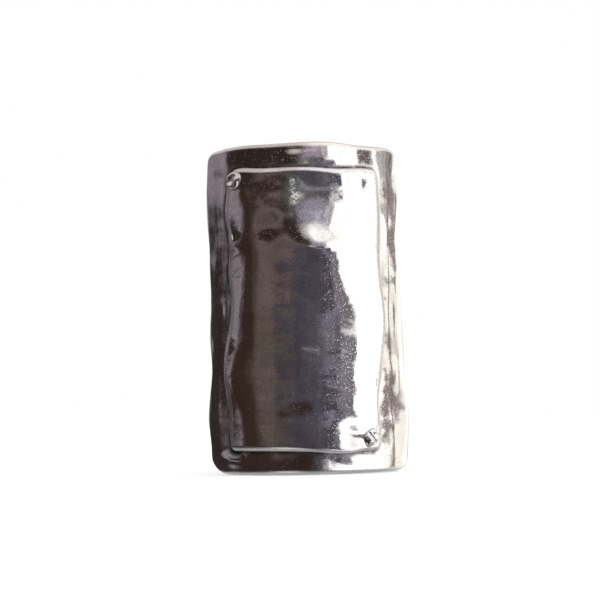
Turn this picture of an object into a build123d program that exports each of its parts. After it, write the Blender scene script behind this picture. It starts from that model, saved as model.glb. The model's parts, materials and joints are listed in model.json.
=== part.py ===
from build123d import *
import os
from math import cos, radians, sin

# A long two-layer plate ring in hammered silver. The finger's axis is Z and the plates face -Y.
# The origin is the centre of the finger bore, at half the height of the plates.
# Places on the plates are given as (arc length from the front's centre line, height), in mm.

# ---------------------------------------------------------------- driving dimensions (mm)
bore_radius = 8.85  # US ring size 7 1/2
band_thickness = 1.35
band_width = 6.0
band_shoulder = 0.45  # rounding of the band's outer edges
band_comfort = 0.6  # rounding of the band's inner edges

base_thickness = 0.8
base_top_corner = 1.2
base_bottom_corner = 2.4
base_rim = 0.33  # rounding of the rim's front edge
base_back_rim = 0.2

overlay_thickness = 0.7
overlay_corner = 1.0
overlay_rim = 0.3

rivet_shank_radius = 0.5
rivet_head_radius = 0.95
rivet_head_height = 0.45
rivet_tail_radius = 0.7
rivet_tail_height = 0.2
seat_depth = 0.15  # the rivet's blank sinks this far into the curved plates before it is trimmed to them

solder_reach = 0.4  # how far the solder creeps along the plate past the band
solder_half_angle = 66

# ---------------------------------------------------------------- worked-out radii
band_radius = bore_radius + band_thickness
base_radius = band_radius + base_thickness
overlay_radius = base_radius + overlay_thickness
beyond = 6.0  # how far a cutter reaches past the sheet
blank_half_length = 19.0  # the blanks are a little longer than either plate

# ---------------------------------------------------------------- hammered outlines
# Side edges: (distance round the front surface from the centre line, height), top to bottom.
base_left_edge = [(14.5, 13.5), (14.1, 6.0), (14.0, 0.0), (13.4, -6.5), (14.4, -10.5), (13.6, -13.5)]
base_right_edge = [(13.3, 12.5), (12.8, 8.5), (13.8, 2.5), (15.0, -3.5), (15.1, -8.5), (15.6, -13.0)]
overlay_left_edge = [(9.5, 12.5), (9.8, 10.5), (9.25, 7.0), (9.1, 0.8), (9.85, -5.0), (9.45, -11.0)]
overlay_right_edge = [(9.2, 13.0), (9.5, 9.3), (9.3, 5.7), (9.9, -1.5), (9.3, -6.5), (8.6, -10.7),
                      (8.9, -13.0)]

# Top and bottom edges: (X, height), left to right. They run on level to the corners.
base_top_edge = [(-8.5, 17.78), (-3.0, 17.63), (2.5, 17.72), (5.8, 17.55), (8.5, 17.63)]
base_bottom_edge = [(-8.5, -17.55), (8.5, -17.55)]  # straight, because the ring stands on it
overlay_top_edge = [(-6.3, 15.2), (-4.8, 15.03), (0.0, 14.9), (3.8, 14.78), (6.3, 15.0)]
overlay_bottom_edge = [(-6.3, -15.0), (-1.0, -15.1), (4.2, -15.36), (6.3, -15.18)]

# Rivets: (signed distance round the overlay's front, height).
rivet_places = {"rivet_upper_left": (-8.1, 13.95), "rivet_lower_right": (7.25, -13.75)}


# ---------------------------------------------------------------- planes on the finger axis
def outward(angle):
    """Unit vector away from the finger's axis, at an angle in degrees from the front towards +X."""
    return Vector(sin(radians(angle)), -cos(radians(angle)), 0)


def around(angle):
    """Unit vector round the finger's axis, in the direction of growing angle."""
    return Vector(cos(radians(angle)), sin(radians(angle)), 0)


def section_plane(angle, height=0.0):
    """Half plane through the axis: local X is the radius and local Y is the height."""
    return Plane(origin=(0, 0, height), x_dir=outward(angle), z_dir=outward(angle).cross(Vector(0, 0, 1)))


def facing_plane(angle, height=0.0):
    """Plane through the axis whose normal points outward: local X runs round the ring, local Y is up."""
    return Plane(origin=(0, 0, height), x_dir=around(angle), z_dir=outward(angle))


def angle_of(distance, radius):
    return distance / radians(radius)


# ---------------------------------------------------------------- shared operations
def bend_sheet(inner_radius, thickness, half_length, edges):
    """Adds a strip of sheet bent round the axis, a little wider than its outline."""
    reach = max(distance for edge in edges for distance, height in edge) + 1.0
    half_angle = angle_of(reach, inner_radius + thickness)
    with BuildSketch(section_plane(-half_angle)) as wall:
        with Locations((inner_radius + thickness / 2, 0)):
            Rectangle(thickness, 2 * half_length)
    revolve(wall.sketch, axis=Axis.Z, revolution_arc=2 * half_angle)


def trim_side(edge, radius, side, top, top_corner, bottom, bottom_corner):
    """Cuts the sheet off square to its surface, beyond a wavy side edge and its two rounded corners.

    side is 1 at +X and -1 at -X. The corners start as far out as the side's first and last points.
    """
    middle = sum(distance for distance, height in edge) / len(edge)
    points = [(side * (distance - middle), height) for distance, height in edge]
    upper = (points[0][0], top - top_corner)
    lower = (points[-1][0], bottom + bottom_corner)
    upper_end = (upper[0] - side * top_corner, top)
    lower_end = (lower[0] - side * bottom_corner, bottom)
    outside = side * beyond
    with BuildSketch(facing_plane(side * angle_of(middle, radius))) as waste:
        with BuildLine() as outline:
            RadiusArc(upper_end, upper, side * top_corner)
            Spline([upper, *points, lower], tangents=[(0, -1), (0, -1)])
            RadiusArc(lower, lower_end, side * bottom_corner)
            Polyline(lower_end, (lower_end[0], bottom - beyond), (outside, bottom - beyond),
                     (outside, top + beyond), (upper_end[0], top + beyond), upper_end)
        make_face(outline.line)
    extrude(waste.sketch, amount=radius + beyond, mode=Mode.SUBTRACT)


def trim_end(edge, radius, side):
    """Cuts the sheet off above a wavy top edge (side 1) or below a wavy bottom edge (side -1)."""
    limit = edge[0][1] + side * beyond
    far = radius + beyond
    with BuildSketch(Plane.XZ.offset(-radius)) as waste:
        with BuildLine() as outline:
            Spline(edge, tangents=[(1, 0), (1, 0)])
            Polyline(edge[-1], (far, edge[-1][1]), (far, limit), (-far, limit), (-far, edge[0][1]), edge[0])
        make_face(outline.line)
    extrude(waste.sketch, amount=2 * radius + beyond, mode=Mode.SUBTRACT)


def trim_outline(left, right, top, bottom, radius, top_corner, bottom_corner):
    trim_end(top, radius, 1)
    trim_end(bottom, radius, -1)
    trim_side(left, radius, -1, top[0][1], top_corner, bottom[0][1], bottom_corner)
    trim_side(right, radius, 1, top[-1][1], top_corner, bottom[-1][1], bottom_corner)


def rim_edges(sheet, radius):
    """The outline of the sheet's surface that lies at this radius."""
    faces = sheet.faces().filter_by(GeomType.CYLINDER)
    surface = faces.filter_by(lambda face: abs(face.radius - radius) < 0.01).sort_by(SortBy.AREA)[-1]
    return surface.outer_wire().edges()


def circles_of(piece, radius):
    circles = piece.edges().filter_by(GeomType.CIRCLE)
    return circles.filter_by(lambda edge: abs(edge.radius - radius) < 0.01)


def drill_rivets(radius):
    for distance, height in rivet_places.values():
        with BuildSketch(facing_plane(angle_of(distance, overlay_radius), height)) as hole:
            Circle(rivet_shank_radius)
        extrude(hole.sketch, amount=radius + beyond, mode=Mode.SUBTRACT)


# ---------------------------------------------------------------- base plate
with BuildPart() as base_plate:
    bend_sheet(band_radius, base_thickness, blank_half_length, [base_left_edge, base_right_edge])
    trim_outline(base_left_edge, base_right_edge, base_top_edge, base_bottom_edge,
                 base_radius, base_top_corner, base_bottom_corner)
    fillet(rim_edges(base_plate, base_radius), radius=base_rim)
    fillet(rim_edges(base_plate, band_radius), radius=base_back_rim)
    drill_rivets(base_radius)

# ---------------------------------------------------------------- overlay plate
with BuildPart() as overlay_plate:
    bend_sheet(base_radius, overlay_thickness, blank_half_length, [overlay_left_edge, overlay_right_edge])
    trim_outline(overlay_left_edge, overlay_right_edge, overlay_top_edge, overlay_bottom_edge,
                 overlay_radius, overlay_corner, overlay_corner)
    fillet(rim_edges(overlay_plate, overlay_radius), radius=overlay_rim)
    drill_rivets(overlay_radius)

# ---------------------------------------------------------------- rivets
def turn_rivet():
    """A rivet lying along local X: hammered dome outside, shank through both plates, low tail inside."""
    head_edge = Vector(overlay_radius - seat_depth, rivet_head_radius)
    head_top = Vector(overlay_radius + rivet_head_height, 0)
    head_shoulder = Vector(overlay_radius + 0.7 * rivet_head_height, 0.7 * rivet_head_radius)
    tail_end = band_radius - rivet_tail_height
    with BuildLine() as outline:
        ThreePointArc(head_top, head_shoulder, head_edge)
        Polyline(head_edge, (head_edge.X, rivet_shank_radius), (band_radius + seat_depth, rivet_shank_radius),
                 (band_radius + seat_depth, rivet_tail_radius), (tail_end, rivet_tail_radius), (tail_end, 0),
                 head_top)
    return outline.line


rivets = {}
for name, (distance, height) in rivet_places.items():
    plane = section_plane(angle_of(distance, overlay_radius), height)
    with BuildPart() as rivet:
        with BuildSketch(plane) as profile:
            make_face(turn_rivet())
        revolve(axis=Axis(plane.origin, plane.x_dir))
        add(base_plate.part, mode=Mode.SUBTRACT)
        add(overlay_plate.part, mode=Mode.SUBTRACT)
    rivets[name] = rivet

# ---------------------------------------------------------------- ring band
with BuildPart() as ring_band:
    with BuildSketch(section_plane(180)) as band_section:
        with Locations((bore_radius + band_thickness / 2, 0)):
            Rectangle(band_thickness, band_width)
    revolve(axis=Axis.Z)
    fillet(circles_of(ring_band, band_radius), radius=band_shoulder)
    fillet(circles_of(ring_band, bore_radius), radius=band_comfort)

# ---------------------------------------------------------------- solder seams
def solder_seam(side):
    """Solder drawn into the groove between the band's rounded shoulder and the plate's back."""
    edge_height = band_width / 2
    toe = (band_radius, edge_height + solder_reach)
    root = (band_radius, edge_height - band_shoulder)
    shelf = (band_radius - band_shoulder, edge_height)
    hollow = (band_radius - 0.15, edge_height + 0.16)
    mirrored = [(x, side * y) for x, y in (toe, root, shelf, hollow)]
    toe, root, shelf, hollow = mirrored
    with BuildSketch(section_plane(-solder_half_angle)) as profile:
        with BuildLine() as outline:
            Line(toe, root)
            RadiusArc(root, shelf, -side * band_shoulder)
            ThreePointArc(shelf, hollow, toe)
        make_face(outline.line)
    revolve(profile.sketch, axis=Axis.Z, revolution_arc=2 * solder_half_angle)


with BuildPart() as solder_seam_upper:
    solder_seam(1)
with BuildPart() as solder_seam_lower:
    solder_seam(-1)

# ---------------------------------------------------------------- export
pieces = {
    "base_plate": base_plate,
    "overlay_plate": overlay_plate,
    **rivets,
    "ring_band": ring_band,
    "solder_seam_upper": solder_seam_upper,
    "solder_seam_lower": solder_seam_lower,
}
os.makedirs("parts", exist_ok=True)
for name, piece in pieces.items():
    piece.part.label = name
    export_step(piece.part, f"parts/{name}.step")
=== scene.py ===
import json
import math

import bpy
import numpy as np
from mathutils import Matrix, Vector


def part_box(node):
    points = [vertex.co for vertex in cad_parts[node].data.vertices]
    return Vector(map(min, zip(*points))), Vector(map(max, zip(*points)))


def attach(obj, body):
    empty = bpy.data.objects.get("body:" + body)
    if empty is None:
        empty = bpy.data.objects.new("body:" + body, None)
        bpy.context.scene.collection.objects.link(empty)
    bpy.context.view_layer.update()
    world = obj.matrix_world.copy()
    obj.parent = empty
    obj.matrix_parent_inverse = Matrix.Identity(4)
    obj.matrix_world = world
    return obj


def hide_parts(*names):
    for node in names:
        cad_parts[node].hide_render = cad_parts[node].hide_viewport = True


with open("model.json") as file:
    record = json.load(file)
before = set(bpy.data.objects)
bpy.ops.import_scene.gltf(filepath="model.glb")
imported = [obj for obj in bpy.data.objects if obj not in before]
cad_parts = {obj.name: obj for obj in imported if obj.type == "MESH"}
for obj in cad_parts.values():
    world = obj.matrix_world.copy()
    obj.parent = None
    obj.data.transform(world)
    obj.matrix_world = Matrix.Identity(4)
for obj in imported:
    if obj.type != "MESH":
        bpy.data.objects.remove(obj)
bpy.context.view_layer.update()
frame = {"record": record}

# A hammered silver plate ring. The finger's axis is Z and the plates face -Y.
# Shapes are worked out in millimetres and turned into metres when a mesh is made.
# A place on a plate is (s, z): the distance round its front from the centre line, and the height.

MM = 0.001


# ================================================================ sizes, from the frame
def radius_of(node):
    """How far a node reaches towards -Y, in mm: the radius of its outer surface."""
    return -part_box(node)[0].y / MM


base_radius = radius_of("base_plate")
overlay_radius = radius_of("overlay_plate")
band_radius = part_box("ring_band")[1].x / MM
band_half_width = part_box("ring_band")[1].z / MM
bore_radius = frame["record"]["mounts"][0]["dims"]["r_mm"]
floor_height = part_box("base_plate")[0].z / MM


# ================================================================ curves and reliefs
def smooth_step(x):
    x = np.clip(x, 0.0, 1.0)
    return x * x * (3.0 - 2.0 * x)


def through(points):
    """A smooth function through a few (place, value) points, level beyond the last ones."""
    x, y = np.array(sorted(points)).T
    slope = np.gradient(y, x)
    slope[0] = slope[-1] = 0.0

    def value(at):
        at = np.clip(at, x[0], x[-1])
        i = np.clip(np.searchsorted(x, at) - 1, 0, len(x) - 2)
        step = x[i + 1] - x[i]
        t = (at - x[i]) / step
        return (y[i] * (1 + 2 * t) * (1 - t) ** 2 + y[i + 1] * t * t * (3 - 2 * t)
                + step * (slope[i] * t * (1 - t) ** 2 - slope[i + 1] * t * t * (1 - t)))

    return value


def ripples(s, z, wavelength, seed, count=9):
    """Even, seeded waviness of about +-1: a few plane waves that cross at odd angles."""
    rng = np.random.default_rng(seed)
    total = np.zeros(np.broadcast(s, z).shape)
    for _ in range(count):
        angle, phase = rng.uniform(0, math.pi), rng.uniform(0, 2 * math.pi)
        k = 2 * math.pi / (wavelength * rng.uniform(0.75, 1.5))
        total += np.sin(k * (s * math.cos(angle) + z * math.sin(angle)) + phase)
    return total / math.sqrt(count)


def blows(s, z, marks):
    """Sum of soft hammer marks: (s, z, half width, half height, lean in degrees, height in mm)."""
    total = np.zeros(np.broadcast(s, z).shape)
    for at_s, at_z, wide, high, lean, height in marks:
        c, n = math.cos(math.radians(lean)), math.sin(math.radians(lean))
        ds, dz = s - at_s, z - at_z
        u, v = (ds * c + dz * n) / wide, (dz * c - ds * n) / high
        total += height * np.exp(-(u * u + v * v))
    return total


# ================================================================ the studio's cards
# The light comes from soft cards round the ring. Angles are in degrees: azimuth from the front (-Y)
# towards +X, and elevation. Later cards lie over earlier ones. Colours are linear.
# A lean shifts a card's azimuth by that many degrees for each degree of elevation.
# (name, azimuth, half width, edge, elevation, half height, edge, lean, colour)
cards = [
    # what the middle rows reflect
    ("backdrop", 180, 33, 8, 0, 80, 20, 0, (0.80, 0.80, 0.80)),
    ("brown_left", -30, 36, 6, 2, 16, 3, 0, (0.088, 0.066, 0.060)),
    ("taupe_left", -36, 15, 5, 0, 13, 4, 0, (0.145, 0.108, 0.102)),
    ("blue_right", 22, 32, 8, 0, 15, 3, 0, (0.080, 0.074, 0.098)),
    ("blue_bulge", -12, 20, 8, 1.4, 2.4, 3.0, 0, (0.080, 0.072, 0.096)),
    ("green_grey", 6, 20, 10, 9.5, 3, 4, 0, (0.130, 0.135, 0.130)),
    ("lavender_edge", 60, 22, 6, 2, 40, 6, 0, (0.200, 0.190, 0.230)),
    ("lavender_patch", 26, 9, 8, 3.2, 1.4, 1.2, 0, (0.210, 0.190, 0.240)),
    ("lavender_low", 32, 14, 8, 0.9, 0.7, 0.6, 0, (0.270, 0.250, 0.320)),
    ("lavender_top", 14, 12, 6, 7.0, 1.0, 0.9, 6, (0.370, 0.340, 0.430)),
    ("olive_low", -34, 15, 6, 0.8, 1.2, 1.8, 3, (0.110, 0.098, 0.082)),
    ("navy_left", -22, 12, 6, 3.4, 1.0, 2.0, 5, (0.062, 0.055, 0.078)),
    ("dark_door", -61, 7, 4, 0, 60, 20, 0, (0.045, 0.028, 0.022)),
    ("dark_beside", -86, 20, 4, 0, 30, 12, 0, (0.040, 0.026, 0.024)),
    ("mauve_wall", -88, 18, 3, 5.0, 2.9, 0.6, 0, (0.270, 0.232, 0.265)),
    ("mauve_low", -86, 17, 3, -2.3, 2.8, 1.0, 0, (0.330, 0.280, 0.320)),
    ("mauve_upper", -121, 23, 4, 26, 19, 2, 0, (0.270, 0.232, 0.265)),
    ("dark_side", -121, 20, 4, -14, 20, 2, 0, (0.035, 0.026, 0.026)),
    ("white_card", 75, 25, 2, 5, 25, 6, 0, (1.7, 1.7, 1.7)),
    ("cream_card", 125, 27, 5, 0, 45, 15, 0, (1.3, 1.28, 1.2)),
    ("grey_high", 106, 9, 4, 12, 3.5, 1, 0, (0.60, 0.59, 0.59)),
    ("teal_high", 122, 4, 2, 12, 3.5, 1, 0, (0.16, 0.20, 0.20)),
    ("brown_right", 115, 4, 3, 0, 40, 15, 0, (0.340, 0.290, 0.280)),
    ("brown_wedge", 122, 16, 4, 7.0, 1.6, 0.8, 4, (0.330, 0.275, 0.270)),
    ("brown_low", 110, 14, 4, 0.2, 2.0, 1.5, 5, (0.300, 0.250, 0.250)),
    # what the top rows reflect
    ("dark_upper", -50, 40, 8, 14, 5, 2, 0, (0.035, 0.024, 0.022)),
    ("white_upper", 58, 18, 3, 8.5, 3, 1.5, 0, (1.7, 1.7, 1.7)),
    ("white_high", 45, 19, 5, 14.5, 5, 1.5, 0, (1.7, 1.7, 1.7)),
    ("brown_high", 79, 12, 4, 13.5, 2.6, 1, 0, (0.180, 0.150, 0.150)),
    ("lavender_ledge", 11, 16, 8, 15.5, 3.5, 2.0, 0, (0.360, 0.330, 0.420)),
    ("lamp", -3, 6, 3, 9.8, 0.7, 0.5, 0, (0.90, 0.95, 0.85)),
    # what the bottom rows reflect
    ("dark_lower", -45, 55, 8, -8, 6, 2, 0, (0.040, 0.026, 0.022)),
    ("white_low", 62, 38, 6, -11.5, 6, 2, 0, (1.7, 1.7, 1.7)),
    ("floor_card", 0, 190, 10, -60, 36, 6, 0, (0.50, 0.54, 0.55)),
    ("floor_dark_left", -70, 26, 12, -32, 10, 6, 0, (0.060, 0.045, 0.045)),
    ("floor_dark_right", 10, 16, 10, -40, 14, 7, 0, (0.100, 0.095, 0.105)),
    ("floor_white", -25, 14, 5, -34, 16, 5, 0, (1.2, 1.2, 1.2)),
    ("ceiling", 40, 190, 10, 62, 42, 4, 0, (0.72, 0.68, 0.69)),
    ("ceiling_right", 60, 62, 8, 62, 42, 4, 0, (1.3, 1.3, 1.3)),
]
studio_gloom = (0.040, 0.032, 0.030)  # between the cards


# ================================================================ the two plates
class Outline:
    """A plate's wavy outline: its edges as smooth functions, and its corners' (width, height)."""

    corner_points = 60
    edge_points = 400

    def __init__(self, left, right, top, bottom, corners):
        self.left, self.right = through(left), through(right)
        self.top, self.bottom = through(top), through(bottom)
        self.corners = corners

    def corner(self, name):
        """A quarter of an ellipse, from the side edge to the top or bottom edge."""
        side = -1 if "left" in name else 1
        end = 1 if "upper" in name else -1
        wide, high = self.corners[name]
        edge, tip = (self.left if side < 0 else self.right), (self.top if end > 0 else self.bottom)
        start_s = side * edge(tip(0.0) - end * high)
        centre_s = start_s - side * wide
        centre_z = tip(centre_s) - end * high
        turn = np.radians(np.linspace(0, 90, self.corner_points))
        return centre_s + side * wide * np.cos(turn), centre_z + end * high * np.sin(turn)

    def sides(self):
        """Four open curves of (s, z) points, clockwise from the upper left, split at the corners' middles."""
        corner = {name: np.stack(self.corner(name), 1) for name in self.corners}
        half = self.corner_points // 2
        ul, ur, lr, ll = (corner[n] for n in ("upper_left", "upper_right", "lower_right", "lower_left"))
        run = np.linspace(0, 1, self.edge_points)[1:-1, None]

        def along(start, end, edge, upright):
            points = start + (end - start) * run
            if upright:
                points[:, 0] = edge(points[:, 1])
            else:
                points[:, 1] = edge(points[:, 0])
            return points

        top = along(ul[-1], ur[-1], self.top, False)
        right = along(ur[0], lr[0], self.right, True)
        bottom = along(lr[-1], ll[-1], self.bottom, False)
        left = along(ll[0], ul[0], lambda z: -self.left(z), True)
        return [
            np.concatenate([ul[half:], top, ur[:half - 1:-1]]),
            np.concatenate([ur[half::-1], right, lr[:half + 1]]),
            np.concatenate([lr[half:], bottom, ll[:half - 1:-1]]),
            np.concatenate([ll[half::-1], left, ul[:half + 1]]),
        ]


# Crests, hollows and end points: sides as (height, distance from the centre line), ends as (s, z).
overlay_outline = Outline(
    left=[(13.5, 9.5), (10.5, 9.9), (7.0, 9.1), (4.5, 9.5), (0.5, 9.0), (-5.0, 9.9), (-12.0, 9.4)],
    right=[(13.0, 9.2), (9.5, 9.5), (6.0, 9.3), (-2.0, 9.9), (-6.5, 9.3), (-10.5, 8.6), (-13.0, 9.0)],
    top=[(-7.5, 15.2), (-5.0, 15.0), (0.0, 14.9), (4.0, 14.8), (7.0, 15.0)],
    bottom=[(-7.5, -15.0), (0.0, -15.1), (4.5, -15.4), (7.0, -15.2)],
    corners={"upper_left": (1.9, 1.8), "upper_right": (1.2, 1.0), "lower_right": (1.4, 0.9),
             "lower_left": (0.9, 0.7)},
)
base_outline = Outline(
    left=[(15.0, 14.2), (11.5, 14.7), (7.0, 14.0), (0.0, 13.9), (-3.0, 14.2), (-6.5, 13.4), (-10.5, 14.5),
          (-15.0, 13.3)],
    right=[(14.5, 13.0), (12.0, 13.4), (9.5, 12.6), (1.0, 14.3), (-4.5, 15.3), (-8.5, 15.0), (-14.0, 15.8)],
    top=[(-9.0, 17.8), (-3.5, 17.6), (3.0, 17.7), (6.5, 17.5), (11.0, 17.7)],
    bottom=[(-9.0, -17.5), (0.0, -17.5), (11.0, -17.4)],
    corners={"upper_left": (1.7, 0.9), "upper_right": (1.4, 0.7), "lower_right": (3.6, 1.5),
             "lower_left": (3.2, 1.9)},
)
# Hammer marks: (s, z, half width, half height, lean in degrees, height in mm).
overlay_marks = [
    # a ledge above the middle, with a hollow over it
    (1.5, 6.5, 2.5, 1.5, -10, 0.20),
    (2.0, 4.5, 2.5, 3.5, -10, 0.30),
    (1.0, 12.0, 3.0, 2.5, 0, -0.15),
    # the right side pushed out, and a hollow below it, beside the rivet
    (6.5, -4.0, 1.5, 6.5, 0, 0.10),
    (5.0, -13.5, 1.5, 1.2, 0, -0.28),
    # bulges along the left edge
    (-9.5, -7.0, 2.0, 3.5, 0, 0.34),
    (-7.5, 13.0, 1.5, 1.5, 0, 0.12),
    (-9.0, 7.0, 1.5, 1.0, 0, 0.13),
    # a small dent at the upper left
    (-4.0, 8.5, 1.2, 1.2, 0, -0.10),
]
base_marks = [
    # the ends dip along the whole width
    (0.0, 17.5, 17.0, 1.2, 0, -0.07),
    (0.0, -18.0, 17.0, 1.2, 0, -0.10),
    # left margin
    (-12.5, 7.0, 0.5, 2.0, 0, -0.08),
    (-12.0, 3.5, 0.3, 2.0, 0, 0.05),
    (-10.5, 0.0, 0.4, 1.5, 0, 0.05),
    (-12.5, -3.5, 0.4, 1.0, 0, 0.05),
    (-11.5, -9.5, 0.6, 3.0, 0, 0.10),
    (-9.0, -16.0, 2.0, 0.7, -5, 0.28),
    # right margin
    (10.5, 7.5, 0.6, 3.0, 0, 0.10),
    (11.5, -1.0, 0.6, 3.0, 0, -0.08),
    (12.5, -6.5, 0.3, 1.5, 0, -0.05),
    (11.0, -13.0, 0.7, 2.5, 10, 0.08),
    # a small dent by the top rim
    (-1.0, 17.0, 1.0, 0.5, 0, -0.05),
    # the four corners flare
    (15.5, -12.0, 2.2, 5.0, 0, 0.42),
    (14.5, 15.0, 2.2, 4.0, 0, 0.15),
    (-14.0, -13.5, 2.2, 5.0, 0, 0.28),
    (-14.5, 14.0, 2.2, 5.0, 0, 0.18),
]


def hammer_texture(s, z, seed):
    """The shallow, smaller unevenness that a planishing hammer leaves everywhere."""
    return (0.0060 * ripples(0.6 * s, z, 2.6, seed) + 0.0014 * ripples(0.7 * s, z, 1.3, seed + 1, 14)
            + 0.0004 * ripples(s, z, 0.6, seed + 2, 18))


def overlay_relief(s, z):
    return blows(s, z, overlay_marks) + 0.028 * ripples(s, z, 8.0, 3) + hammer_texture(s, z, 7)


def base_relief(s, z):
    return blows(s, z, base_marks) + 0.018 * ripples(s, z, 5.0, 5) + hammer_texture(s, z, 9)


def make_piece(name, node, points, faces, material, attributes=None):
    """A mesh object from points in mm, smooth shaded, riding on the ring and standing for its CAD node."""
    mesh = bpy.data.meshes.new(name)
    mesh.from_pydata((np.asarray(points) * MM).tolist(), [], faces)
    mesh.validate()
    mesh.shade_smooth()
    for key, values in (attributes or {}).items():
        mesh.attributes.new(key, "FLOAT", "POINT").data.foreach_set("value", np.asarray(values, "f"))
    mesh.materials.append(material)
    piece = bpy.data.objects.new(name, mesh)
    bpy.context.scene.collection.objects.link(piece)
    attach(piece, "root")
    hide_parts(node)
    return piece


def on_cylinder(s, z, radius, flat_radius):
    """Wraps (s, z) round the finger's axis. s is measured at flat_radius."""
    angle = s / flat_radius
    return np.stack([radius * np.sin(angle), -radius * np.cos(angle), z + 0 * angle], -1)


def resample(curve, count):
    """count points, evenly spaced along a curve, without its last point."""
    length = np.concatenate([[0], np.cumsum(np.hypot(*np.diff(curve, axis=0).T))])
    at = np.linspace(0, length[-1], count + 1)[:-1]
    return np.stack([np.interp(at, length, curve[:, 0]), np.interp(at, length, curve[:, 1])], 1)


def soften(loop, passes):
    """Rounds off the small kinks of a closed loop of points."""
    for _ in range(passes):
        loop = (np.roll(loop, 1, 0) + 2 * loop + np.roll(loop, -1, 0)) / 4
    return loop


def plate_mesh(outline, across, up, inset, flat_radius, front, back, rim, back_rim, side_flare):
    """Points and quads of a bent sheet with rounded, hammered rims, and each point's wear, 1 on the rims.

    An inner grid of across x up quads, inset from the outline, is joined to it by graded loops on
    both faces. front and back give the radius of each face at (s, z), and rim gives the front
    edge's rounding at a share of the way round. side_flare widens that rounding at the side edges,
    or narrows it if negative.
    """
    counts = (across, up, across, up)
    edge = soften(np.concatenate([resample(c, n) for c, n in zip(outline.sides(), counts)]), passes=6)
    total = len(edge)
    ahead = np.roll(edge, -1, 0) - np.roll(edge, 1, 0)
    ahead /= np.linalg.norm(ahead, axis=1)[:, None]
    inward = np.stack([ahead[:, 1], -ahead[:, 0]], 1)
    low_s, high_s = edge[:, 0].min() + inset, edge[:, 0].max() - inset
    low_z, high_z = edge[:, 1].min() + inset, edge[:, 1].max() - inset
    grid_s = np.linspace(low_s, high_s, across + 1)
    grid_z = np.linspace(high_z, low_z, up + 1)
    index = np.arange((across + 1) * (up + 1)).reshape(up + 1, across + 1)
    ring = np.concatenate([index[0, :-1], index[:-1, -1], index[-1, :0:-1], index[:0:-1, 0]])
    flat = np.stack(np.meshgrid(grid_s, grid_z), -1).reshape(-1, 2)
    border = flat[ring]

    way = np.linspace(0, 1, total, endpoint=False)
    radius = rim(way)
    width = radius * (1 + side_flare * inward[:, 0] ** 2)
    back_radius = back_rim * (1 + 0 * way)
    points, loops = [on_cylinder(flat[:, 0], flat[:, 1], front(*flat.T), flat_radius)], []
    wear = [np.zeros(len(flat))]

    def add_loop(place, height_radius, worn):
        loops.append(sum(len(p) for p in points) + np.arange(total))
        points.append(on_cylinder(place[:, 0], place[:, 1], height_radius, flat_radius))
        wear.append(np.full(total, float(worn)))

    def rounding(depth, corner):
        """How far a rounded edge has dropped at a depth inside the outline."""
        return corner - np.sqrt(np.maximum(corner ** 2 - np.maximum(corner - depth, 0) ** 2, 0))

    steps, turns, belly_height = 12, 8, 0.03
    shoulder = edge + inward * width[:, None]
    for k in range(1, steps + 1):
        share = smooth_step(k / steps) * 0.35 + 0.65 * k / steps
        place = border + (shoulder - border) * share
        add_loop(place, front(*place.T), {steps: 0.5, steps - 1: 0.1}.get(k, 0))
    for k in range(1, turns + 1):
        share = 1 - math.sin(math.pi / 2 * k / turns)
        place = edge + inward * (width * share)[:, None]
        add_loop(place, front(*place.T) - rounding(radius * share, radius), 1)
    lip = front(*edge.T) - radius
    foot = back(*edge.T) + back_radius
    for k in (1, 2, 3):
        place = edge - inward * belly_height * math.sin(math.pi * k / 4)
        add_loop(place, lip + (foot - lip) * k / 4, 1)
    back_turns = turns // 2
    for k in range(back_turns + 1):
        depth = back_radius * (1 - math.cos(math.pi / 2 * k / back_turns))
        place = edge + inward * depth[:, None]
        add_loop(place, back(*place.T) + rounding(depth, back_radius), 0.5)
    back_shoulder = edge + inward * back_radius[:, None]
    back_steps = 6
    for k in range(1, back_steps):
        place = back_shoulder + (border - back_shoulder) * k / back_steps
        add_loop(place, back(*place.T), 0)
    back_index = index + sum(len(p) for p in points)
    points.append(on_cylinder(flat[:, 0], flat[:, 1], back(*flat.T), flat_radius))
    wear.append(np.zeros(len(flat)))

    faces = []
    a, b, c, d = index[:-1, :-1], index[:-1, 1:], index[1:, 1:], index[1:, :-1]
    faces += np.stack([a, d, c, b], -1).reshape(-1, 4).tolist()
    a, b, c, d = back_index[:-1, :-1], back_index[:-1, 1:], back_index[1:, 1:], back_index[1:, :-1]
    faces += np.stack([a, b, c, d], -1).reshape(-1, 4).tolist()
    for one, two in zip([ring, *loops], [*loops, back_index.ravel()[ring]]):
        faces += np.stack([one, np.roll(one, -1), np.roll(two, -1), two], -1).tolist()
    return np.concatenate(points), faces, np.concatenate(wear)


def rim_distance(s, z, loop):
    """Distance in mm from each (s, z) to the nearest point of a loop."""
    nearest = np.full(s.shape, 1e9)
    for at_s, at_z in loop:
        nearest = np.minimum(nearest, (s - at_s) ** 2 + (z - at_z) ** 2)
    return np.sqrt(nearest)


def uneven_rim(size, share, seed):
    """A rim rounding that swells and thins along the outline."""
    walk, wavelength = 60, 28

    def rim(way):
        turn = 2 * math.pi * way
        return size * (1 + share * ripples(walk * np.cos(turn), walk * np.sin(turn), wavelength, seed))

    return rim


def grid_faces(rows, columns, closed_rows=False, closed_columns=False):
    """Quads of a rows x columns lattice of points, wrapping round where it is closed."""
    index = np.arange(rows * columns).reshape(rows, columns)
    below = np.roll(index, -1, 0) if closed_rows else index[1:]
    here = index if closed_rows else index[:-1]
    if closed_columns:
        sides = here, np.roll(here, -1, 1), np.roll(below, -1, 1), below
    else:
        sides = here[:, :-1], here[:, 1:], below[:, 1:], below[:, :-1]
    return np.stack(sides, -1).reshape(-1, 4).tolist()


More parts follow.
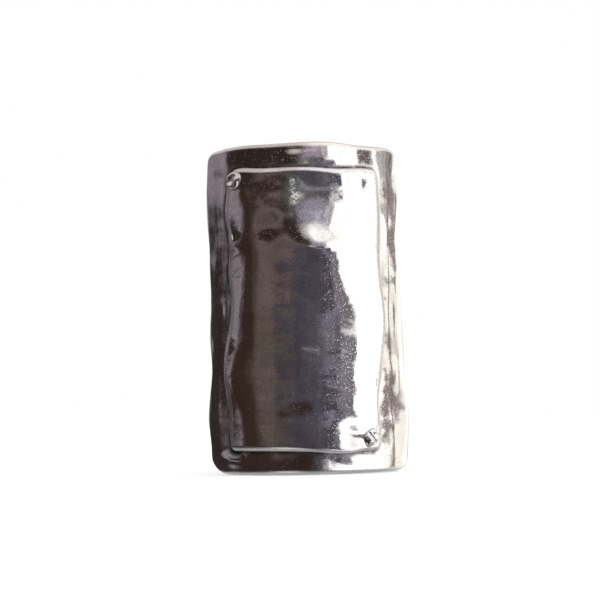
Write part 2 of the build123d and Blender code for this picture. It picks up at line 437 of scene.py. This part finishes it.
# ================================================================ materials
def polished_silver(name, tint, roughness, grain):
    """Hand-polished silver: near mirror, with orange peel, hairline scratches and painted shade in the
    crevices.

    The mesh's crevice shade attribute, 0 to 1, says where the colour is painted darker and rougher, as shade
    and dark reflection where parts meet; "wear" where the rims have gone satin with wear, and "satin" where
    the polishing wheel never reached.
    """
    material = bpy.data.materials.new(name)
    material.use_nodes = True
    nodes, links = material.node_tree.nodes, material.node_tree.links
    shader = nodes["Principled BSDF"]
    shader.inputs["Metallic"].default_value = 1.0

    place = nodes.new("ShaderNodeTexCoord").outputs["Object"]

    def noise(scale, detail=2.0, stretch=(1, 1, 1)):
        mapping = nodes.new("ShaderNodeMapping")
        mapping.inputs["Scale"].default_value = stretch
        texture = nodes.new("ShaderNodeTexNoise")
        texture.inputs["Scale"].default_value = scale
        texture.inputs["Detail"].default_value = detail
        links.new(place, mapping.inputs["Vector"])
        links.new(mapping.outputs["Vector"], texture.inputs["Vector"])
        return texture.outputs["Fac"]

    def to_range(value, low, high, new_low, new_high):
        node = nodes.new("ShaderNodeMapRange")
        numbers = {"From Min": low, "From Max": high, "To Min": new_low, "To Max": new_high}
        for socket, number in numbers.items():
            node.inputs[socket].default_value = number
        links.new(value, node.inputs["Value"])
        return node.outputs["Result"]

    def combine(operation, one, two):
        node = nodes.new("ShaderNodeMath")
        node.operation = operation
        for socket, value in zip(node.inputs, (one, two)):
            if isinstance(value, float):
                socket.default_value = value
            else:
                links.new(value, socket)
        return node.outputs["Value"]

    def blend_colours(share, one, two):
        node = nodes.new("ShaderNodeMix")
        node.data_type = "RGBA"
        links.new(share, node.inputs["Factor"])
        for socket, value in ((node.inputs[6], one), (node.inputs[7], two)):
            if isinstance(value, tuple):
                socket.default_value = (*value, 1.0)
            else:
                links.new(value, socket)
        return node.outputs[2]

    painted_crevice_shade = nodes.new("ShaderNodeAttribute")
    painted_crevice_shade.attribute_name = "painted_crevice_shade"
    warm = tuple(c * share for c, share in zip(tint, (0.84, 0.76, 0.72)))
    cool = tuple(c * share for c, share in zip(tint, (0.76, 0.78, 0.80)))
    # Painted shade: the crevice shade attribute, broken up by noise, blends the colour towards this
    # near-black and roughens it.
    shade_colour = (0.030, 0.028, 0.036)
    clean = blend_colours(to_range(noise(240, 5.0), 0.42, 0.66, 0.0, 1.0), tint, warm)
    clean = blend_colours(to_range(noise(420, 5.0), 0.46, 0.72, 0.0, 1.0), clean, cool)
    speckle = to_range(noise(9000, 1.0), 0.30, 0.62, 0.0, 1.0)
    clean = blend_colours(speckle, tuple(c * 0.62 for c in tint), clean)
    shade_darkening = combine("MULTIPLY", painted_crevice_shade.outputs["Fac"], to_range(noise(900, 3.0), 0.3, 0.6, 0.55, 1.0))
    links.new(blend_colours(shade_darkening, clean, shade_colour), shader.inputs["Base Color"])

    polish = to_range(noise(700, 4.0), 0.35, 0.75, roughness * 0.6, roughness * 1.6)
    rough = combine("ADD", polish, combine("MULTIPLY", shade_darkening, 0.3))
    for key, amount in (("wear", 0.30), ("satin", 0.16)):
        share = nodes.new("ShaderNodeAttribute")
        share.attribute_name = key
        rough = combine("ADD", rough, combine("MULTIPLY", share.outputs["Fac"], amount))
    links.new(rough, shader.inputs["Roughness"])

    peel = noise(grain)
    specks = to_range(noise(7000, 1.0), 0.66, 0.76, 0.0, 0.6)
    pits = combine("ADD", combine("MULTIPLY", noise(6500), 0.22), specks)
    upright_scratches = combine("MULTIPLY", noise(9000, 1.0, (1, 1, 0.05)), 0.04)
    level_scratches = combine("MULTIPLY", noise(7000, 1.0, (0.08, 0.08, 1)), 0.03)
    scratches = combine("ADD", upright_scratches, level_scratches)
    height = combine("ADD", combine("ADD", peel, pits), scratches)
    bump = nodes.new("ShaderNodeBump")
    bump.inputs["Strength"].default_value = 0.30
    bump.inputs["Distance"].default_value = 0.02 * MM
    links.new(height, bump.inputs["Height"])
    links.new(bump.outputs["Normal"], shader.inputs["Normal"])
    return material


silver = (0.97, 0.945, 0.925)
plate_silver = polished_silver("hammered_silver", silver, 0.05, 1500)
rivet_silver = polished_silver("rivet_silver", silver, 0.09, 2500)
band_silver = polished_silver("band_silver", silver, 0.10, 1800)
solder_silver = polished_silver("silver_solder", (0.90, 0.87, 0.80), 0.22, 2500)


# ================================================================ base plate and overlay plate
def base_front(s, z):
    return base_radius + base_relief(s, z)


def base_back(s, z):
    return band_radius + 0.008 * ripples(s, z, 3.0, 11)


def overlay_front(s, z):
    return overlay_radius + overlay_relief(s, z)


def overlay_back(s, z):
    return base_radius - sink + 0 * s


sink = 0.03  # the overlay's underside lies this far in the base plate, so that no gap shows
edge_shade_reach = 0.34  # how far the painted shade reaches from the overlay's edge
left_shade_extra = 0.6  # how much further the painted shade reaches on the left, the shaded side
left_from, left_within = 7.5, 2.0  # the left begins this far out, and is full that much further on

points, faces, wear = plate_mesh(base_outline, across=150, up=190, inset=3.2, flat_radius=base_radius,
                                 front=base_front, back=base_back, rim=uneven_rim(0.42, 0.12, 2),
                                 back_rim=0.20, side_flare=-0.35)
# Painted shade: a dark band on the base plate's front along the overlay's edge, wider on the left, stands in
# for the overlay's shadow and dark reflection.
overlay_loop = np.concatenate([resample(curve, 150) for curve in overlay_outline.sides()])
around = np.arctan2(points[:, 0], -points[:, 1]) * overlay_radius
near_overlay = rim_distance(around, points[:, 2], overlay_loop)
outside = np.hypot(points[:, 0], points[:, 1]) > (base_radius + band_radius) / 2
left_side = smooth_step((-around - left_from) / left_within)
painted_crevice_shade = np.exp(-(near_overlay / (edge_shade_reach + left_shade_extra * left_side)) ** 4) * outside
make_piece("base_plate_silver", "base_plate", points, faces, plate_silver,
           {"painted_crevice_shade": painted_crevice_shade, "wear": wear, "satin": 1 - outside})

points, faces, wear = plate_mesh(overlay_outline, across=130, up=200, inset=1.9, flat_radius=overlay_radius,
                                 front=overlay_front, back=overlay_back, rim=uneven_rim(0.50, 0.14, 4),
                                 back_rim=0.05, side_flare=0.9)
# Painted shade: the overlay's edges darken towards the base plate, as shade where the two plates meet.
height = np.hypot(points[:, 0], points[:, 1]) - base_radius
painted_crevice_shade = np.exp(-(np.maximum(height, 0) / edge_shade_reach) ** 2)
make_piece("overlay_plate_silver", "overlay_plate", points, faces, plate_silver,
           {"painted_crevice_shade": painted_crevice_shade, "wear": wear})


# ================================================================ rivets
tail_share, tail_height = 0.72, 0.20  # the tail's width as a share of the head's, and its height
rivet_seat = 0.05  # how far the head's and the tail's rims lie in the plates


def rivet_mesh(at_s, at_z, wide, high, lean, height, flatness, dish, groove, seed):
    """An oval hammered head that follows the overlay, and a low domed tail on the base plate's back.

    dish hollows the head's middle, and groove cuts a line along its short axis.
    """
    spokes, rings = 96, 28
    first_ring = 0.02  # leaves a small hole in the middle, which one face closes
    turn = np.linspace(0, 2 * math.pi, spokes, endpoint=False)
    c, n = math.cos(math.radians(lean)), math.sin(math.radians(lean))
    ragged = 1 + 0.05 * ripples(3 * np.cos(turn), 3 * np.sin(turn), 4.0, seed)
    points, shade_darkening, faces = [], [], []
    for part in ("head", "tail"):
        head = part == "head"
        first = len(points) * spokes
        for k in range(rings):
            t = math.sin(math.pi / 2 * (k + first_ring) / (rings - 1 + first_ring))
            u, v = wide * t * np.cos(turn) * ragged, high * t * np.sin(turn) * ragged
            if not head:
                u, v = u * tail_share, v * tail_share
            s, z = at_s + u * c - v * n, at_z + u * n + v * c
            dome = (1 - t ** flatness) ** 0.6 + 0.16 * ripples(u, v, 1.3, seed + 1) * (1 - t ** 4)
            if head:
                dome -= dish * math.exp(-(t / 0.55) ** 2) + groove * np.exp(-(u / 0.13) ** 2) * (1 - t ** 4)
                radius = overlay_front(s, z) - rivet_seat + height * dome
            else:
                radius = band_radius + rivet_seat - tail_height * dome
            points.append(on_cylinder(s, z, radius, overlay_radius))
            # Painted shade: the outer rim of the head and of the tail is darkened, as shade where the rivet
            # meets the plates.
            shade_darkening.append(np.full(spokes, smooth_step((t - 0.88) / 0.10)))
        quads = np.array(grid_faces(rings, spokes, closed_columns=True)) + first
        middle = first + np.arange(spokes)
        rim = middle + (rings - 1) * spokes
        faces += (quads[:, ::-1] if head else quads).tolist()
        faces.append((middle if head else middle[::-1]).tolist())
        faces.append((rim[::-1] if head else rim).tolist())
    return np.concatenate(points), faces, np.concatenate(shade_darkening)


rivets = {
    "rivet_upper_left": dict(at_s=-8.1, at_z=13.9, wide=1.16, high=0.98, lean=10, height=0.34,
                             flatness=5.0, dish=0.50, groove=0.0, seed=21),
    "rivet_lower_right": dict(at_s=7.25, at_z=-13.75, wide=1.12, high=0.86, lean=40, height=0.42,
                              flatness=2.3, dish=0.0, groove=0.35, seed=31),
}
for node, shape in rivets.items():
    points, faces, shade_darkening = rivet_mesh(**shape)
    make_piece(node + "_silver", node, points, faces, rivet_silver, {"painted_crevice_shade": shade_darkening})


# ================================================================ ring band
band_shoulder, band_comfort = 0.45, 0.60  # rounding of the outer and the inner edges


def band_section(corner_points=10, spacing=0.3):
    """The band's closed section as (radius, height): small shoulders outside, a comfort fit inside."""
    quarter = np.radians(np.linspace(0, 90, corner_points))
    outer, inner = band_radius - band_shoulder, bore_radius + band_comfort
    corners = ((outer, 1, band_shoulder, 0), (inner, 1, band_comfort, 90),
               (inner, -1, band_comfort, 180), (outer, -1, band_shoulder, 270))
    runs = []
    for centre_radius, side, size, start in corners:
        centre_height = side * (band_half_width - size)
        turn = quarter + math.radians(start)
        runs.append(np.stack([centre_radius + size * np.cos(turn), centre_height + size * np.sin(turn)], 1))
    closed = np.concatenate(runs)
    steps = []
    for one, two in zip(closed, np.roll(closed, -1, 0)):
        count = max(1, round(np.hypot(*(two - one)) / spacing))
        steps.append(one + (two - one) * np.arange(count)[:, None] / count)
    return np.concatenate(steps)


def band_dents(angle, height, count=150):
    """Round planishing dents scattered over the band, as heights of -0.5 to -1 that add up."""
    rng = np.random.default_rng(41)
    dents = np.zeros(np.broadcast(angle, height).shape)
    for _ in range(count):
        at, at_height, size = rng.uniform(0, 2 * math.pi), rng.uniform(-3, 3), rng.uniform(0.7, 1.3)
        apart = (angle - at + math.pi) % (2 * math.pi) - math.pi
        away = (apart * band_radius) ** 2 + (height - at_height) ** 2
        dents -= rng.uniform(0.5, 1.0) * np.exp(-away / size ** 2)
    return dents


def band_mesh(stations=420, dent_depth=0.045, edge_waver=0.027):
    """The whole band, hammered outside and wavering along its edges. Also gives how satin each point is."""
    section = band_section()
    angle = np.linspace(0, 2 * math.pi, stations, endpoint=False)[:, None]
    radius, height = section[:, 0][None, :], section[:, 1][None, :]
    outer = smooth_step((radius - bore_radius - 0.3) / (band_radius - bore_radius - 0.3))
    dented = radius + outer * dent_depth * band_dents(angle, height)
    waver = ripples(9 * np.cos(angle), 9 * np.sin(angle), 5.0, 45)
    wavering = height + edge_waver * waver * height / band_half_width
    points = np.stack([dented * np.sin(angle), -dented * np.cos(angle), wavering], -1).reshape(-1, 3)
    faces = np.array(grid_faces(stations, len(section), closed_rows=True, closed_columns=True))
    satin = np.broadcast_to(1 - outer, dented.shape).ravel()
    return points, faces[:, ::-1].tolist(), satin


points, faces, satin = band_mesh()
make_piece("ring_band_silver", "ring_band", points, faces, band_silver, {"satin": satin})


# ================================================================ solder
solder_half_angle = 66  # how far round the solder reaches from the front, in degrees
solder_seat = 0.02  # how far the solder lies in the plate and in the band


def solder_mesh(side, seed):
    """A thin fillet of solder between the band's shoulder and the plate's back, with an uneven toe."""
    angle = np.radians(np.linspace(-solder_half_angle, solder_half_angle, 260))
    along = np.abs(np.degrees(angle)) / solder_half_angle
    fade = np.sqrt(np.clip(1 - along ** 10, 0, 1))
    walk = 10 * np.cos(angle), 10 * np.sin(angle)
    reach = (0.30 + 0.08 * ripples(*walk, 3.0, seed)) * fade + 0.01
    lump = 0.02 * ripples(*walk, 1.6, seed + 1)
    level = 0 * angle
    toe = np.stack([band_radius + solder_seat + level, band_half_width + reach], -1)
    root = np.stack([band_radius + solder_seat + level, band_half_width - band_shoulder + level], -1)
    shelf = np.stack([band_radius - 0.50 * (0.3 + 0.7 * fade), band_half_width - solder_seat + level], -1)
    rows = []
    for t in np.linspace(0, 1, 10):
        sag = (0.16 + lump)[:, None] * math.sin(math.pi * t) * np.array([1, -0.5]) * fade[:, None]
        rows.append(toe + (shelf - toe) * t + sag)
    rows += [root + (shelf - root) * t for t in (0.66, 0.33, 0.0)]
    rows.append(root + (toe - root) * 0.5)
    section = np.stack(rows, 1)
    radius, height = section[..., 0], side * section[..., 1]
    points = np.stack([radius * np.sin(angle)[:, None], -radius * np.cos(angle)[:, None], height], -1)
    faces = np.array(grid_faces(len(angle), len(rows), closed_columns=True))
    faces = (faces[:, ::-1] if side > 0 else faces).tolist()
    first = np.arange(len(rows))
    last = first + (len(angle) - 1) * len(rows)
    faces += [first[::side].tolist(), last[::-side].tolist()]
    return points.reshape(-1, 3), faces


for node, side, seed in (("solder_seam_upper", 1, 51), ("solder_seam_lower", -1, 61)):
    points, faces = solder_mesh(side, seed)
    make_piece(node + "_bead", node, points, faces, solder_silver)


# ================================================================ studio
def studio_world():
    """The cards as a procedural world. The camera sees plain white past the floor."""
    world = bpy.data.worlds.new("studio")
    world.use_nodes = True
    nodes, links = world.node_tree.nodes, world.node_tree.links
    background = nodes["Background"]

    def feed(node, values):
        for socket, value in zip(node.inputs, values):
            if isinstance(value, (int, float)):
                socket.default_value = value
            elif value is not None:
                links.new(value, socket)
        return node.outputs[0]

    def calculate(operation, *values):
        node = nodes.new("ShaderNodeMath")
        node.operation = operation
        return feed(node, values)

    def card_cover(value, half, soft):
        node = nodes.new("ShaderNodeMapRange")
        node.interpolation_type = "SMOOTHSTEP"
        return feed(node, (value, half + soft, half - soft, 0.0, 1.0))

    direction = nodes.new("ShaderNodeSeparateXYZ")
    direction_vector = nodes.new("ShaderNodeTexCoord").outputs["Generated"]
    links.new(direction_vector, direction.inputs[0])
    x, y, z = direction.outputs
    to_degrees = math.degrees(1)
    azimuth = calculate("MULTIPLY", calculate("ARCTAN2", x, calculate("MULTIPLY", y, -1.0)), to_degrees)
    elevation = calculate("MULTIPLY", calculate("ARCSINE", z), to_degrees)

    def wander(scale, amount, offset):
        """Seeded noise over the directions, about zero."""
        texture = nodes.new("ShaderNodeTexNoise")
        texture.noise_dimensions = "4D"
        texture.inputs["W"].default_value = offset
        texture.inputs["Scale"].default_value = scale
        texture.inputs["Detail"].default_value = 3.0
        links.new(direction_vector, texture.inputs["Vector"])
        return calculate("MULTIPLY", calculate("SUBTRACT", texture.outputs["Fac"], 0.5), amount)

    azimuth = calculate("ADD", azimuth, wander(5.0, 26.0, 1.0))
    elevation = calculate("ADD", elevation, wander(5.0, 5.0, 2.0))
    colour = nodes.new("ShaderNodeRGB").outputs[0]
    colour.default_value = (*studio_gloom, 1.0)
    for name, az, half_az, soft_az, el, half_el, soft_el, lean, tint in cards:
        raised = calculate("SUBTRACT", elevation, float(el))
        aside = calculate("SUBTRACT", azimuth, float(az))
        turn = calculate("SUBTRACT", aside, calculate("MULTIPLY", raised, float(lean)))
        turn = calculate("ABSOLUTE", calculate("WRAP", turn, 180.0, -180.0))
        cover = calculate("MULTIPLY", card_cover(turn, half_az, soft_az),
                          card_cover(calculate("ABSOLUTE", raised), half_el, soft_el))
        mix = nodes.new("ShaderNodeMix")
        mix.data_type = "RGBA"
        mix.label = name
        links.new(cover, mix.inputs["Factor"])
        links.new(colour, mix.inputs[6])
        mix.inputs[7].default_value = (*tint, 1.0)
        colour = mix.outputs[2]
    shade = calculate("ADD", wander(4.0, 0.9, 3.0), 1.0)
    mottled = nodes.new("ShaderNodeVectorMath")
    mottled.operation = "SCALE"
    links.new(colour, mottled.inputs[0])
    links.new(shade, mottled.inputs["Scale"])
    colour = mottled.outputs[0]
    seen = nodes.new("ShaderNodeMix")
    seen.data_type = "RGBA"
    links.new(nodes.new("ShaderNodeLightPath").outputs["Is Camera Ray"], seen.inputs["Factor"])
    links.new(colour, seen.inputs[6])
    seen.inputs[7].default_value = (1, 1, 1, 1)
    links.new(seen.outputs[2], background.inputs["Color"])
    return world


bpy.context.scene.world = studio_world()
bpy.context.scene.view_settings.view_transform = "Standard"


def paper(name, radius, height, sides=96):
    """A round sheet of pale paper under the ring, in metres."""
    turn = np.linspace(0, 2 * math.pi, sides, endpoint=False)
    mesh = bpy.data.meshes.new(name)
    rim = np.stack([radius * np.cos(turn), radius * np.sin(turn), height + 0 * turn], 1)
    mesh.from_pydata(rim.tolist(), [], [list(range(sides))])
    material = bpy.data.materials.new(name)
    material.use_nodes = True
    shader = material.node_tree.nodes["Principled BSDF"]
    shader.inputs["Base Color"].default_value = (0.93, 0.93, 0.93, 1)
    shader.inputs["Roughness"].default_value = 0.9
    shader.inputs["Specular IOR Level"].default_value = 0.0
    shader.inputs["Emission Color"].default_value = (1, 1, 1, 1)
    shader.inputs["Emission Strength"].default_value = 0.35
    mesh.materials.append(material)
    sheet = bpy.data.objects.new(name, mesh)
    bpy.context.scene.collection.objects.link(sheet)
    return sheet


floor = paper("floor", radius=3.0, height=floor_height * MM)
floor.visible_glossy = False  # its far reaches would whiten every reflection below the horizon


# ================================================================ camera
target = Vector((-0.55, 0, 1.65)) * MM
camera_elevation, camera_distance, camera_roll = math.radians(-4.4), 173.0 * MM, math.radians(0.9)
lens = bpy.data.cameras.new("camera")
lens.lens = 92.4
lens.clip_start = 0.01
lens.clip_end = 10
camera = bpy.data.objects.new("camera", lens)
back = Vector((0, -math.cos(camera_elevation), math.sin(camera_elevation)))
camera.location = target + camera_distance * back
aim = back.to_track_quat("Z", "Y").to_matrix()
camera.rotation_euler = (aim @ Matrix.Rotation(-camera_roll, 3, "Z")).to_euler()
bpy.context.scene.collection.objects.link(camera)
bpy.context.scene.camera = camera

bpy.context.view_layer.update()
